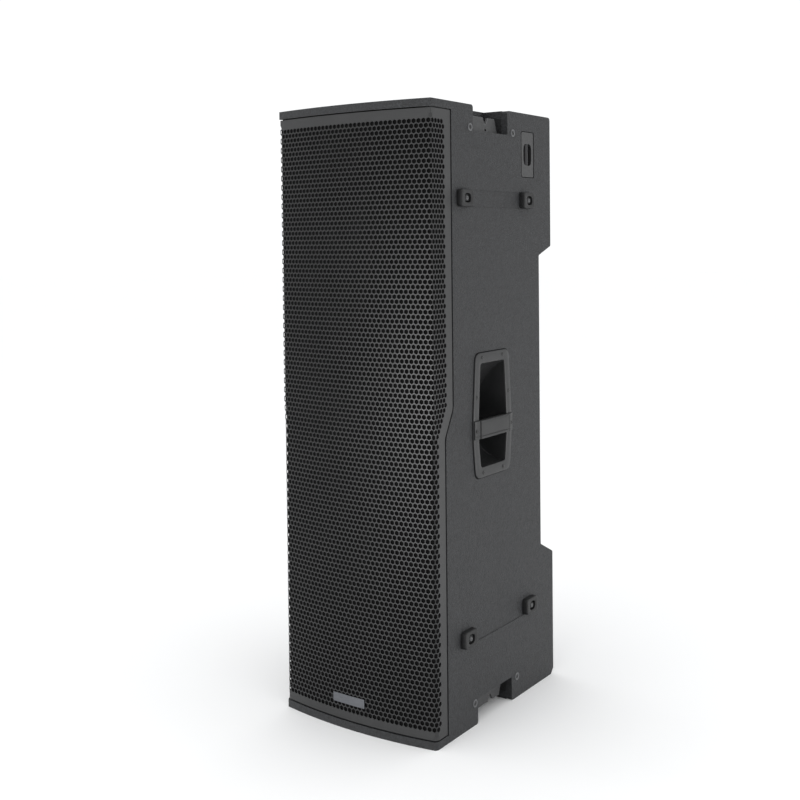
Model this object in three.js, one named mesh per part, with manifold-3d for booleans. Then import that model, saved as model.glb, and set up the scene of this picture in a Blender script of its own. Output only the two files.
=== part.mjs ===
// Full-range three-way stage loudspeaker cabinet: horn, midrange and two woofers behind a wrapped grille.
// Millimetres, +Z up, the grille faces -Y. Origin: centre of the footprint, on the floor.
import * as THREE from 'three';
import { mergeVertices } from 'three/addons/utils/BufferGeometryUtils.js';
import Module from 'manifold-3d';

const wasm = await Module();
wasm.setup();

// ---------------------------------------------------------------- driving dimensions
const HEIGHT = 1300;
const WIDTH = 394;
const DEPTH = 514;
const BOW = 19; // how far the front arc stands ahead of its corners
const PLY = 15; // side, rear and brace panels
const PLATE = 16; // top and bottom panels
const GAP = 0.3; // clearance between pieces that touch

const HALF_W = WIDTH / 2;
const INNER = HALF_W - PLY; // inner face of a side panel
const FRONT = -DEPTH / 2;
const REAR = DEPTH / 2;
const CORNER = FRONT + BOW; // where the front arc meets the sides
const BOW_RADIUS = (HALF_W * HALF_W + BOW * BOW) / (2 * BOW);
const RECESS = 200; // outer face of the recessed middle of the back
const RECESS_TOP = 983;
const RECESS_BOTTOM = 318;
const LEDGE_TOP = 1004; // where the upper sloping ledge reaches the back
const LEDGE_BOTTOM = 289;

const SEAM_UPPER = -166; // rear edge of the grille cheeks, above the jog
const SEAM_LOWER = -196; // and below it
const SEAM_GAP = 3.5;
const JOG_TOP = 677;
const JOG_BOTTOM = 620;
const GRILLE_SHEET = 1.5;
const GRILLE_BACK = 2; // the end plates overhang the grille by this much
const GRILLE_CLEAR = 2.5; // shadow gap between the grille and an end plate
const LIP_CHAMFER = [4, 5]; // X and Y legs of the chamfered lower front corners
const TONGUE = { thick: 10, upperFront: -232, lowerFront: -220 }; // the side panels' edge behind the cheeks

const POCKET = { front: -81, back: 62, inner: 137, depth: 53, wall: 4 };
const FEET = { rows: [1106, 194], fronts: [-146, 114], length: 49, height: 36, proud: 12 };
const CHANNEL_DEPTH = 1.2;
const HANDLE_Y = -14;
const ANCHOR = { y: 151, z: 1209, width: 56, height: 100, slotWidth: 36, slotHeight: 50, depth: 26, bar: 5.5 };

const BAFFLE_FRONT = -205;
const BAFFLE = 18;
const HORN_Z = 1158;
const MID_Z = 930;
const WOOFER_ZS = [655, 330];
const AMP = { halfWidth: 130, bottom: 400, top: 900, face: RECESS + GAP, sheet: 3 };

// ---------------------------------------------------------------- materials
const finish = (color, roughness, metalness = 0) => new THREE.MeshStandardMaterial({ color, roughness, metalness });
const TEXTURED_PAINT = 0x3b3c3d;
const GRILLE_STEEL = 0x242526;
const SATIN_PLASTIC = 0x333435;
const RUBBER = 0x1d1d1e;
const BARE_STEEL = 0x8c8e90;

// ---------------------------------------------------------------- geometry helpers
// A geometry with shared vertices, no flat triangles and its faces pointing out.
function closed(geometry) {
  const copy = geometry.clone();
  for (const name of Object.keys(copy.attributes)) {
    if (name !== 'position') copy.deleteAttribute(name);
  }
  const merged = mergeVertices(copy, 1e-3);
  const index = merged.index.array;
  const place = merged.attributes.position;
  const corners = [0, 1, 2].map(() => new THREE.Vector3());
  const kept = [];
  let volume = 0;
  for (let i = 0; i < index.length; i += 3) {
    const [a, b, c] = [index[i], index[i + 1], index[i + 2]];
    if (a === b || b === c || c === a) continue;
    kept.push(a, b, c);
    [a, b, c].forEach((v, k) => corners[k].fromBufferAttribute(place, v));
    volume += corners[0].dot(corners[1].cross(corners[2]));
  }
  if (volume < 0) kept.reverse();
  merged.setIndex(kept);
  return merged;
}

function solid(geometry) {
  const mesh = closed(geometry);
  return new wasm.Manifold(new wasm.Mesh({
    numProp: 3,
    vertProperties: new Float32Array(mesh.attributes.position.array),
    triVerts: new Uint32Array(mesh.index.array),
  }));
}

function shaped(manifold) {
  const mesh = manifold.getMesh();
  const geometry = new THREE.BufferGeometry();
  geometry.setAttribute('position', new THREE.BufferAttribute(new Float32Array(mesh.vertProperties), 3));
  geometry.setIndex(new THREE.BufferAttribute(new Uint32Array(mesh.triVerts), 1));
  geometry.computeVertexNormals();
  return geometry;
}

const join = (first, ...others) => others.reduce((whole, piece) => whole.add(piece), first);
const cut = (first, ...others) => others.reduce((whole, piece) => whole.subtract(piece), first);

function box([x0, x1], [y0, y1], [z0, z1]) {
  const geometry = new THREE.BoxGeometry(x1 - x0, y1 - y0, z1 - z0);
  return solid(geometry.translate((x0 + x1) / 2, (y0 + y1) / 2, (z0 + z1) / 2));
}

// An outline from [u, v, corner radius] points; a corner with no radius stays sharp.
function outline(points) {
  const shape = new THREE.Shape();
  points.forEach(([u, v, radius = 0], i) => {
    const here = new THREE.Vector2(u, v);
    const [before, after] = [points.at(i - 1), points[(i + 1) % points.length]].map(([a, b]) => (
      new THREE.Vector2(a, b).sub(here).setLength(radius).add(here)));
    const start = i === 0 ? 'moveTo' : 'lineTo';
    shape[start](before.x, before.y);
    if (radius > 0) shape.quadraticCurveTo(u, v, after.x, after.y);
  });
  return shape;
}

function rectangle(u, v, halfU, halfV, radius) {
  return outline([
    [u - halfU, v - halfV, radius],
    [u + halfU, v - halfV, radius],
    [u + halfU, v + halfV, radius],
    [u - halfU, v + halfV, radius],
  ]);
}

function circle(u, v, radius) {
  return new THREE.Shape().absarc(u, v, radius, 0, Math.PI * 2);
}

// Each extrusion names the two axes its outline is drawn on by the axis it runs along.
const ALONG = {
  x: new THREE.Matrix4().set(0, 0, 1, 0, 1, 0, 0, 0, 0, 1, 0, 0, 0, 0, 0, 1), // outline on (Y, Z)
  y: new THREE.Matrix4().set(1, 0, 0, 0, 0, 0, 1, 0, 0, 1, 0, 0, 0, 0, 0, 1), // outline on (X, Z)
  z: new THREE.Matrix4(), // outline on (X, Y)
};

function extrude(axis, shape, from, to, curveSegments = 3) {
  const geometry = new THREE.ExtrudeGeometry(shape, { depth: to - from, bevelEnabled: false, curveSegments });
  geometry.translate(0, 0, from);
  return solid(geometry.applyMatrix4(ALONG[axis]));
}

// A solid turned about a line along Y through (0, z), from [radius, y] points.
function turned(points, z, segments, x = 0) {
  const profile = points.map(([radius, y]) => new THREE.Vector2(radius, y));
  return solid(new THREE.LatheGeometry(profile, segments).translate(x, 0, z));
}

// A solid through rings of points, each ring with the same count, capped at both ends.
function loft(sections) {
  const flat = capPlane(sections[0]);
  const clockwise = THREE.ShapeUtils.isClockWise(sections[0].map(flat));
  const rings = clockwise ? sections.map((ring) => [...ring].reverse()) : sections;
  const count = rings[0].length;
  const position = rings.flat(2);
  const index = [];
  for (let r = 0; r + 1 < rings.length; r += 1) {
    for (let i = 0; i < count; i += 1) {
      const [a, b] = [r * count + i, r * count + (i + 1) % count];
      index.push(a, b, b + count, a, b + count, a + count);
    }
  }
  const caps = THREE.ShapeUtils.triangulateShape(rings[0].map(flat), []);
  const last = (rings.length - 1) * count;
  for (const [a, b, c] of caps) {
    index.push(c, b, a, last + a, last + b, last + c);
  }
  const geometry = new THREE.BufferGeometry();
  geometry.setAttribute('position', new THREE.Float32BufferAttribute(position, 3));
  geometry.setIndex(index);
  return solid(geometry);
}

// Drops the coordinate that a flat ring doesn't change, keeping the ring's turning sense.
function capPlane(ring) {
  const spread = [0, 1, 2].map((k) => Math.max(...ring.map((p) => p[k])) - Math.min(...ring.map((p) => p[k])));
  const still = spread.indexOf(Math.min(...spread));
  const [u, v] = [[1, 2], [2, 0], [0, 1]][still];
  return (p) => new THREE.Vector2(p[u], p[v]);
}

const mirrored = (manifold) => solid(shaped(manifold).applyMatrix4(new THREE.Matrix4().makeScale(-1, 1, 1)));

const group = new THREE.Group();

function add(name, piece, color, roughness = 0.7, metalness = 0) {
  const mesh = new THREE.Mesh(shaped(piece), finish(color, roughness, metalness));
  mesh.name = name;
  group.add(mesh);
}

// Adds a piece built for the right side (+X) and its mirror image on the left.
function addPair(name, piece, color, roughness, metalness) {
  add(`right_${name}`, piece, color, roughness, metalness);
  add(`left_${name}`, mirrored(piece), color, roughness, metalness);
}

// ---------------------------------------------------------------- cabinet panels
const bowY = (x, inset = 0) => FRONT + BOW_RADIUS - Math.sqrt((BOW_RADIUS - inset) ** 2 - x * x);

const anchorHole = (grow) => rectangle(
  ANCHOR.y, ANCHOR.z, ANCHOR.slotWidth / 2 + grow, ANCHOR.slotHeight / 2 + grow, 14 + grow);

// Half-widths of the handle's flange and mouth at their heights, from the top down.
const handleOutline = (rows, endRadius, middleRadius = 20) => {
  const corners = (side) => rows.map(([half, z], i) => (
    [HANDLE_Y + side * half, z, i % (rows.length - 1) ? middleRadius : endRadius]));
  return outline([...corners(1), ...corners(-1).reverse()]);
};
const FLANGE_ROWS = [[69, 782], [79, 645], [79, 595], [71, 518]];
const mouthRows = (grow) => [[49.5, 760], [57.5, 645], [57.5, 595], [50, 540]].map(([half, z]) => (
  [half + grow, z + Math.sign(z - 650) * grow]));

function sidePanel() {
  const main = extrude('x', outline([
    [SEAM_UPPER + SEAM_GAP / 2, HEIGHT],
    [SEAM_UPPER + SEAM_GAP / 2, JOG_TOP, 12],
    [SEAM_LOWER + SEAM_GAP / 2, JOG_BOTTOM, 12],
    [SEAM_LOWER + SEAM_GAP / 2, 0],
    [POCKET.front, 0, 7],
    [POCKET.front, POCKET.depth, 4],
    [POCKET.back, POCKET.depth, 4],
    [POCKET.back, 0, 7],
    [REAR - 12, 0],
    [REAR, 12],
    [REAR, LEDGE_BOTTOM, 3],
    [RECESS, RECESS_BOTTOM, 3],
    [RECESS, RECESS_TOP, 3],
    [REAR, LEDGE_TOP, 3],
    [REAR, HEIGHT, 8],
    [POCKET.back, HEIGHT, 7],
    [POCKET.back, HEIGHT - POCKET.depth, 4],
    [POCKET.front, HEIGHT - POCKET.depth, 4],
    [POCKET.front, HEIGHT, 7],
  ]), INNER, HALF_W);
  const tongue = extrude('x', outline([
    [SEAM_UPPER + 10, PLATE + GAP],
    [SEAM_UPPER + 10, HEIGHT - PLATE - GAP],
    [TONGUE.upperFront, HEIGHT - PLATE - GAP],
    [TONGUE.upperFront, JOG_TOP + 10],
    [TONGUE.lowerFront, JOG_TOP],
    [TONGUE.lowerFront, PLATE + GAP],
  ]), INNER, INNER + TONGUE.thick);
  const channels = FEET.rows.map((z) => extrude('x', rectangle(
    (FEET.fronts[0] + FEET.fronts[1] + FEET.length) / 2,
    z,
    (FEET.fronts[1] + FEET.length - FEET.fronts[0]) / 2 + GAP,
    FEET.height / 2 + GAP,
    8.3,
  ), HALF_W - CHANNEL_DEPTH, HALF_W + 1, 3));
  const handleHole = extrude('x', handleOutline(mouthRows(4.8), 18), INNER - 1, HALF_W + 1);
  const anchorRebate = extrude('x', rectangle(
    ANCHOR.y, ANCHOR.z, ANCHOR.width / 2, ANCHOR.height / 2, 6), HALF_W - 3.6, HALF_W + 1, 3);
  return cut(
    join(main, tongue),
    ...channels,
    handleHole,
    anchorRebate,
    extrude('x', anchorHole(3.5), INNER - 1, HALF_W + 1),
  );
}
addPair('side_panel', sidePanel(), TEXTURED_PAINT, 0.85);

// An end plate: a full-width nose ahead of the seam and a body between the side panels.
function endPlate(seamY, chamfer, low, high) {
  const [legX, legY] = chamfer;
  const arcHalf = HALF_W - legX;
  const steps = 14;
  const arc = Array.from({ length: steps + 1 }, (_, i) => {
    const x = -arcHalf + (2 * arcHalf * i) / steps;
    return [x, bowY(x)];
  });
  const inside = INNER - GAP;
  const plate = extrude('z', outline([
    ...arc,
    [HALF_W, CORNER + legY],
    [HALF_W, seamY],
    [inside, seamY],
    [inside, REAR - 12],
    [inside, REAR],
    [-inside, REAR],
    [-inside, REAR - 12],
    [-inside, seamY],
    [-HALF_W, seamY],
    [-HALF_W, CORNER + legY],
  ]), low, high);
  const notch = box([POCKET.inner, HALF_W], [POCKET.front, POCKET.back], [low - 1, high + 1]);
  return cut(plate, notch, mirrored(notch));
}
const seamFront = SEAM_GAP / 2 - GAP;
add('top_panel', endPlate(SEAM_UPPER + seamFront, [0.5, 0.5], HEIGHT - PLATE, HEIGHT), TEXTURED_PAINT, 0.85);

const rearChamfer = extrude('x', outline([[REAR - 12, -1], [REAR + 1, -1], [REAR + 1, 12], [REAR, 12], [REAR - 12, 0]]),
  -HALF_W, HALF_W);
add('bottom_panel', cut(endPlate(SEAM_LOWER + seamFront, LIP_CHAMFER, 0, PLATE), rearChamfer), TEXTURED_PAINT, 0.85);

const between = [-INNER + GAP, INNER - GAP];
const stepInside = RECESS - PLY + GAP;
add('upper_rear_panel', box(between, [REAR - PLY, REAR], [LEDGE_TOP + 17 + GAP, HEIGHT - PLATE - GAP]),
  TEXTURED_PAINT, 0.85);
add('upper_rear_step', extrude('x', outline([
  [stepInside, RECESS_TOP + GAP],
  [RECESS, RECESS_TOP + GAP],
  [REAR, LEDGE_TOP],
  [REAR, LEDGE_TOP + 17],
  [stepInside, RECESS_TOP + 17],
]), ...between), TEXTURED_PAINT, 0.85);
add('lower_rear_step', extrude('x', outline([
  [stepInside, RECESS_BOTTOM - GAP],
  [stepInside, RECESS_BOTTOM - 20],
  [REAR, LEDGE_BOTTOM - 19],
  [REAR, LEDGE_BOTTOM],
  [RECESS, RECESS_BOTTOM - GAP],
]), ...between), TEXTURED_PAINT, 0.85);
add('lower_rear_panel', box(between, [REAR - PLY, REAR], [PLATE + GAP, LEDGE_BOTTOM - 19 - GAP]),
  TEXTURED_PAINT, 0.85);

const ampOpening = box([-AMP.halfWidth + 10, AMP.halfWidth - 10], [RECESS - PLY - 1, RECESS + 1],
  [AMP.bottom + 10, AMP.top - 10]);
add('middle_rear_panel', cut(
  box(between, [RECESS - PLY, RECESS], [RECESS_BOTTOM, RECESS_TOP]), ampOpening), TEXTURED_PAINT, 0.85);

const BAFFLE_SPAN = [BAFFLE_FRONT, BAFFLE_FRONT + BAFFLE];
const roundHole = (radius, z) => extrude('y', circle(0, z, radius), BAFFLE_SPAN[0] - 1, BAFFLE_SPAN[1] + 1, 12);
const portHole = (x) => extrude('y', rectangle(x, 96, 48, 34, 24), BAFFLE_SPAN[0] - 1, BAFFLE_SPAN[1] + 1);
add('front_baffle', cut(
  box(between, BAFFLE_SPAN, [PLATE + GAP, HEIGHT - PLATE - GAP]),
  ...WOOFER_ZS.map((z) => roundHole(147, z)),
  roundHole(97, MID_Z),
  box([-150, 150], [BAFFLE_SPAN[0] - 1, BAFFLE_SPAN[1] + 1], [HORN_Z - 92, HORN_Z + 92]),
  portHole(-100),
  portHole(100),
), 0x1c1c1d, 0.9);

const brace = box(between, [BAFFLE_SPAN[1] + GAP, 115], [485, 500]);
add('cabinet_brace', cut(brace, box([-110, 110], [-140, 70], [480, 505])), 0x8a6f4d, 0.9);

// ---------------------------------------------------------------- rigging pockets and brackets
// Built for the top; the bottom ones are the same pieces turned over.
function riggingPocket() {
  const { front, back, inner, depth, wall } = POCKET;
  const floor = HEIGHT - depth;
  const outer = INNER - GAP;
  const lid = HEIGHT - PLATE - GAP;
  const shell = box([inner - wall, outer], [front - wall, back + wall], [floor - wall, lid]);
  return cut(shell, box([inner, outer + 1], [front, back], [floor, lid + 1]));
}

function riggingBracket() {
  const { front, back, inner, depth } = POCKET;
  const floor = HEIGHT - depth + GAP;
  const face = INNER - 1;
  const plate = extrude('x', outline([
    [front + GAP, floor, 6],
    [back - 18, floor],
    [back - 30, HEIGHT - 20],
    [front + GAP, HEIGHT - 20, 3],
  ]), face - 5, face);
  const flange = box([inner + GAP, face - 4.5], [front + GAP, back - 18], [floor, floor + 4]);
  const rib = box([inner + 12, face - 4.5], [back - 34, back - 28], [floor + 3, HEIGHT - 30]);
  const slot = extrude('x', outline([[-16, HEIGHT - 19], [-8, HEIGHT - 34], [-2, HEIGHT - 34], [6, HEIGHT - 19]]),
    face - 6, face + 1);
  const hole = extrude('x', circle(-5, HEIGHT - 45.5, 3.5), face - 6, face + 1, 8);
  return cut(join(plate, flange, rib), slot, hole);
}

const upsideDown = (manifold) => solid(shaped(manifold)
  .applyMatrix4(new THREE.Matrix4().makeScale(1, 1, -1))
  .translate(0, 0, HEIGHT));
addPair('top_rigging_pocket', riggingPocket(), TEXTURED_PAINT, 0.85);
addPair('bottom_rigging_pocket', upsideDown(riggingPocket()), TEXTURED_PAINT, 0.85);
addPair('top_rigging_bracket', riggingBracket(), 0x3a3b3c, 0.5, 0.6);
addPair('bottom_rigging_bracket', upsideDown(riggingBracket()), 0x3a3b3c, 0.5, 0.6);

// ---------------------------------------------------------------- carrying handles
const CUP_DEPTH = 74;
const CUP_WALL = 3;
const CUP_DRAFT = 0.06;

// The handle's mouth outline as a ring at depth below the side's face, grown by a wall. The bowl's ends curve in to
// half its height at full depth, and its flat sides draw in a little.
function cupRing(depth, grow) {
  const centre = 650;
  const squeeze = 0.5 + 0.5 * Math.sqrt(Math.max(1 - (depth / CUP_DEPTH) ** 2, 0));
  const draft = 1 - (CUP_DRAFT * Math.max(depth, 0)) / CUP_DEPTH;
  return handleOutline(mouthRows(grow), 12 * squeeze, 20 * squeeze).getPoints(2).map((p) => [
    HALF_W + GAP - depth,
    HANDLE_Y + (p.x - HANDLE_Y) * draft,
    centre + (p.y - centre) * squeeze,
  ]);
}

function handleCup() {
  const flange = extrude('x', handleOutline(FLANGE_ROWS, 18), HALF_W + GAP, HALF_W + GAP + 3);
  const outer = loft([...[-1, 20, 42, 58, 69].map((depth) => cupRing(depth, CUP_WALL)),
    cupRing(CUP_DEPTH, CUP_WALL).map(([x, y, z]) => [x - CUP_WALL, y, z])]);
  const inner = loft([-5, 20, 42, 58, 69, CUP_DEPTH].map((depth) => cupRing(depth, 0)));
  return cut(join(flange, outer), inner);
}
addPair('handle_cup', handleCup(), SATIN_PLASTIC, 0.5);

const flangeFace = HALF_W + GAP + 3;
const gripBottom = 602;
const gripTop = 641;
addPair('handle_grip', extrude('z', outline([
  [flangeFace + GAP, HANDLE_Y - 78],
  [flangeFace + 3, HANDLE_Y - 78, 2],
  [flangeFace + 6, HANDLE_Y - 66, 6],
  [flangeFace + 6, HANDLE_Y + 66, 6],
  [flangeFace + 3, HANDLE_Y + 78, 2],
  [flangeFace + GAP, HANDLE_Y + 78],
  [flangeFace + GAP, HANDLE_Y + 56],
  [flangeFace - 11, HANDLE_Y + 48, 6],
  [flangeFace - 11, HANDLE_Y - 48, 6],
  [flangeFace + GAP, HANDLE_Y - 56],
]), gripBottom, gripTop, 3), SATIN_PLASTIC, 0.6);

// ---------------------------------------------------------------- side feet and safety anchors
function sideFoot(y, z) {
  const [halfL, halfH] = [FEET.length / 2, FEET.height / 2];
  const base = HALF_W - CHANNEL_DEPTH + GAP;
  const face = HALF_W + FEET.proud;
  const ring = (x, inset, radius) => rectangle(y, z, halfL - inset, halfH - inset, radius)
    .getPoints(2).map((p) => [x, p.x, p.y]);
  const block = loft([ring(base, 0, 8), ring(face - 3, 0.6, 8), ring(face, 3.2, 7)]);
  const well = extrude('x', rectangle(y, z, 11.5, 8.5, 8.4), face - 7, face + 1, 2);
  return cut(block, well);
}
['upper', 'lower'].forEach((level, row) => {
  ['front', 'rear'].forEach((end, i) => {
    const y = FEET.fronts[i] + FEET.length / 2;
    addPair(`${level}_${end}_foot`, sideFoot(y, FEET.rows[row]), RUBBER, 0.9);
  });
});

function safetyAnchor() {
  const face = HALF_W - GAP;
  const plate = extrude('x', rectangle(
    ANCHOR.y, ANCHOR.z, ANCHOR.width / 2 - GAP, ANCHOR.height / 2 - GAP, 5.7), face - 3, face, 3);
  const shell = extrude('x', anchorHole(3), HALF_W - ANCHOR.depth, face - 1);
  const hollow = extrude('x', anchorHole(0), HALF_W - ANCHOR.depth + 3, face + 1);
  const bar = solid(new THREE.CylinderGeometry(ANCHOR.bar, ANCHOR.bar, ANCHOR.slotHeight + 3, 16)
    .rotateX(Math.PI / 2)
    .translate(face - ANCHOR.bar - GAP, ANCHOR.y, ANCHOR.z));
  return join(cut(join(plate, shell), hollow), bar);
}
addPair('safety_anchor', safetyAnchor(), 0x4a4b4d, 0.45, 0.8);

// ---------------------------------------------------------------- grille and badge
// The grille's cross-section at one height: out along one face from cheek to cheek, back along the other.
function grilleRing(z, seamY, legX, legY) {
  const half = HALF_W - 0.8;
  const steps = 12;
  const face = (inset) => {
    const cheek = half - inset;
    const arcHalf = cheek - legX;
    const right = [[cheek, seamY], [cheek, CORNER + GRILLE_BACK + legY + inset]];
    const arc = Array.from({ length: steps + 1 }, (_, i) => {
      const x = arcHalf - (2 * arcHalf * i) / steps;
      return [x, bowY(x, GRILLE_BACK + inset)];
    });
    const left = right.map(([x, y]) => [-x, y]).reverse();
    return [...right, ...arc, ...left];
  };
  return [...face(0), ...face(GRILLE_SHEET).reverse()].map(([x, y]) => [x, y, z]);
}
const cheekBack = -SEAM_GAP / 2;
add('grille', loft([
  grilleRing(PLATE + GRILLE_CLEAR, SEAM_LOWER + cheekBack, ...LIP_CHAMFER),
  grilleRing(JOG_BOTTOM, SEAM_LOWER + cheekBack, ...LIP_CHAMFER),
  grilleRing(JOG_TOP, SEAM_UPPER + cheekBack, 0.6, 0.6),
  grilleRing(HEIGHT - PLATE - GRILLE_CLEAR, SEAM_UPPER + cheekBack, 0.6, 0.6),
]), GRILLE_STEEL, 0.5, 0.7);

const BADGE = { x: -12, z: 62, width: 82, height: 19, thick: 1.8 };
function badge() {
  const steps = 6;
  const edge = (standoff) => Array.from({ length: steps + 1 }, (_, i) => {
    const x = BADGE.x - BADGE.width / 2 + (BADGE.width * i) / steps;
    return [x, bowY(x, GRILLE_BACK) - standoff];
  });
  return extrude('z', outline([...edge(BADGE.thick), ...edge(GAP).reverse()]),
    BADGE.z - BADGE.height / 2, BADGE.z + BADGE.height / 2);
}

// ---------------------------------------------------------------- high-frequency horn and driver
function hornRing(y, halfX, halfZ, squareness, grow) {
  const count = 20;
  return Array.from({ length: count }, (_, i) => {
    const angle = (2 * Math.PI * i) / count;
    const [c, s] = [Math.cos(angle), Math.sin(angle)];
    const part = (value) => Math.sign(value) * Math.abs(value) ** (1 / squareness);
    return [(halfX + grow) * part(c), y, HORN_Z + (halfZ + grow) * part(s)];
  });
}
const HORN_ROWS = [[-204, 143, 85, 4], [-180, 116, 66, 3], [-150, 84, 46, 2], [-110, 46, 30, 1.4], [-70, 19, 19, 1]];
const hornFlare = (grow, front, back) => loft([
  hornRing(front, 143, 85, 4, grow),
  ...HORN_ROWS.map(([y, halfX, halfZ, square]) => hornRing(y, halfX, halfZ, square, grow)),
  hornRing(back, 19, 19, 1, grow),
]);
const hornFlange = extrude('y', rectangle(0, HORN_Z, 170, 108, 10), BAFFLE_FRONT - 5 - GAP, BAFFLE_FRONT - GAP, 4);
add('horn', cut(join(hornFlange, hornFlare(4, -206, -66)), hornFlare(0, -214, -65)), 0x1a1a1b, 0.6);

const DRIVER_FRONT = -66 + GAP;
add('hf_driver_housing', turned([
  [19, DRIVER_FRONT],
  [50, DRIVER_FRONT],
  [50, DRIVER_FRONT + 8],
  [66, DRIVER_FRONT + 8],
  [66, DRIVER_FRONT + 48],
  [48, DRIVER_FRONT + 54],
  [48, DRIVER_FRONT + 62],
  [0, DRIVER_FRONT + 62],
  [0, DRIVER_FRONT + 34],
  [40, DRIVER_FRONT + 34],
  [40, DRIVER_FRONT + 24],
  [19, DRIVER_FRONT + 24],
  [19, DRIVER_FRONT],
], HORN_Z, 20), 0x3c3d3f, 0.5, 0.7);
add('hf_diaphragm', turned([
  [0, DRIVER_FRONT + 26],
  [16, DRIVER_FRONT + 26.6],
  [36, DRIVER_FRONT + 29.5],
  [38, DRIVER_FRONT + 30.5],
  [36, DRIVER_FRONT + 31],
  [15, DRIVER_FRONT + 28],
  [0, DRIVER_FRONT + 27.4],
], HORN_Z, 20), 0xb9bcc0, 0.35, 0.8);

// ---------------------------------------------------------------- cone drivers
// Radii and depths behind the baffle's front face of one cone driver.
const WOOFER = {
  flange: 156, seat: 142.6, mouth: 141.4, rim: 124, neck: 38, lip: 5,
  conePeak: 36, backPlate: 89, frameWaist: 76, groove: 129, magnet: 92, magnetBack: 143, windows: 42, segments: 24,
};
const MIDRANGE = {
  flange: 104, seat: 93.4, mouth: 92.2, rim: 79.6, neck: 24, lip: 4,
  conePeak: 26, backPlate: 59, frameWaist: 56, groove: 88, magnet: 64, magnetBack: 100, windows: 30, segments: 20,
};

function basket(d, z) {
  const y = (depth) => BAFFLE_FRONT + depth;
  const frame = turned([
    [d.mouth, y(-d.lip - GAP)],
    [d.flange, y(-d.lip - GAP)],
    [d.flange, y(-GAP)],
    [d.seat, y(-GAP)],
    [d.seat, y(5)],
    [d.frameWaist, y(d.backPlate)],
    [d.neck + 5, y(d.backPlate)],
    [d.neck + 5, y(d.backPlate - 4)],
    [d.frameWaist - 4, y(d.backPlate - 4)],
    [d.seat - 4, y(3)],
    [d.mouth, y(-1)],
    [d.mouth, y(-d.lip - GAP)],
  ], z, d.segments);
  const windows = [0, 60, 120].map((angle) => solid(
    new THREE.BoxGeometry(d.flange * 2, d.backPlate - 34, d.windows)
      .translate(0, y(d.backPlate / 2 + 4), 0)
      .rotateY(THREE.MathUtils.degToRad(angle))
      .translate(0, 0, z)));
  return cut(frame, ...windows);
}

function magnet(d, z) {
  const y = (depth) => BAFFLE_FRONT + depth;
  const front = d.backPlate + GAP;
  return turned([
    [0, y(front + 4)],
    [d.neck - 2.3, y(front + 4)],
    [d.neck - 2.3, y(d.groove)],
    [d.neck + 2.6, y(d.groove)],
    [d.neck + 2.6, y(front)],
    [d.magnet - 14, y(front)],
    [d.magnet - 14, y(front + 8)],
    [d.magnet, y(front + 8)],
    [d.magnet, y(d.magnetBack - 10)],
    [d.magnet - 14, y(d.magnetBack - 10)],
    [d.magnet - 14, y(d.magnetBack)],
    [0, y(d.magnetBack)],
  ], z, d.segments);
}

// Cone, dust cap and voice-coil former, which move as one.
function cone(d, z) {
  const y = (depth) => BAFFLE_FRONT + depth;
  const cap = d.conePeak - 4;
  return turned([
    [0, y(cap - 14)],
    [d.neck * 0.5, y(cap - 12)],
    [d.neck * 0.85, y(cap - 6)],
    [d.neck + 2, y(cap)],
    [(d.neck + d.rim) / 2, y(cap / 2 - 4)],
    [d.rim, y(-4)],
    [d.rim, y(-2)],
    [(d.neck + d.rim) / 2, y(cap / 2 - 1.5)],
    [d.neck + 2, y(cap + 3)],
    [d.neck + 0.6, y(cap + 4)],
    [d.neck + 0.6, y(d.groove - 24)],
    [d.neck - 0.8, y(d.groove - 24)],
    [d.neck - 0.8, y(cap + 1)],
    [d.neck * 0.5, y(cap - 9)],
    [0, y(cap - 11)],
  ], z, d.segments);
}

function surround(d, z) {
  const [inner, outer] = [d.rim + 0.4, d.mouth - 0.4];
  const [centre, roll] = [(inner + outer) / 2, (outer - inner) / 2];
  const arc = (radius, from, to) => [0, 1, 2, 3, 4].map((i) => {
    const angle = from + ((to - from) * i) / 4;
    return [centre + radius * Math.cos(angle), BAFFLE_FRONT - 2 - radius * Math.sin(angle)];
  });
  const profile = [...arc(roll, 0, Math.PI), ...arc(roll - 1.5, Math.PI, 0)];
  return turned([...profile, profile[0]], z, d.segments);
}

function addConeDriver(name, d, z) {
  add(`${name}_basket`, basket(d, z), 0x2b2c2d, 0.6, 0.5);
  add(`${name}_magnet`, magnet(d, z), 0x3a3a3c, 0.5, 0.6);
  add(`${name}_cone`, cone(d, z), 0x19191a, 0.9);
  add(`${name}_surround`, surround(d, z), 0x141415, 0.8);
}
addConeDriver('mid', MIDRANGE, MID_Z);
addConeDriver('upper_woofer', WOOFER, WOOFER_ZS[0]);
addConeDriver('lower_woofer', WOOFER, WOOFER_ZS[1]);

// ---------------------------------------------------------------- amplifier
const PANEL_FRONT = AMP.face + AMP.sheet; // the surface the controls stand on
const CONTROLS = {
  powerInlet: [-92, 455],
  input: [-30, 452],
  link: [14, 452],
  knob: [60, 500],
  button: [96, 500],
  rocker: [-92, 515],
};
const throughPlate = (shape) => extrude('y', shape, AMP.face - 1, PANEL_FRONT + 1, 7);
add('amp_plate', cut(
  extrude('y', rectangle(0, (AMP.bottom + AMP.top) / 2, AMP.halfWidth, (AMP.top - AMP.bottom) / 2, 8), AMP.face,
    PANEL_FRONT, 3),
  throughPlate(circle(...CONTROLS.powerInlet, 14.9)),
  throughPlate(circle(...CONTROLS.input, 12.8)),
  throughPlate(circle(...CONTROLS.link, 12.8)),
  throughPlate(circle(...CONTROLS.knob, 3.4)),
  throughPlate(circle(...CONTROLS.button, 4.4)),
  throughPlate(rectangle(...CONTROLS.rocker, 7.4, 12.4, 1)),
), 0x2a2b2c, 0.5, 0.5);

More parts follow.
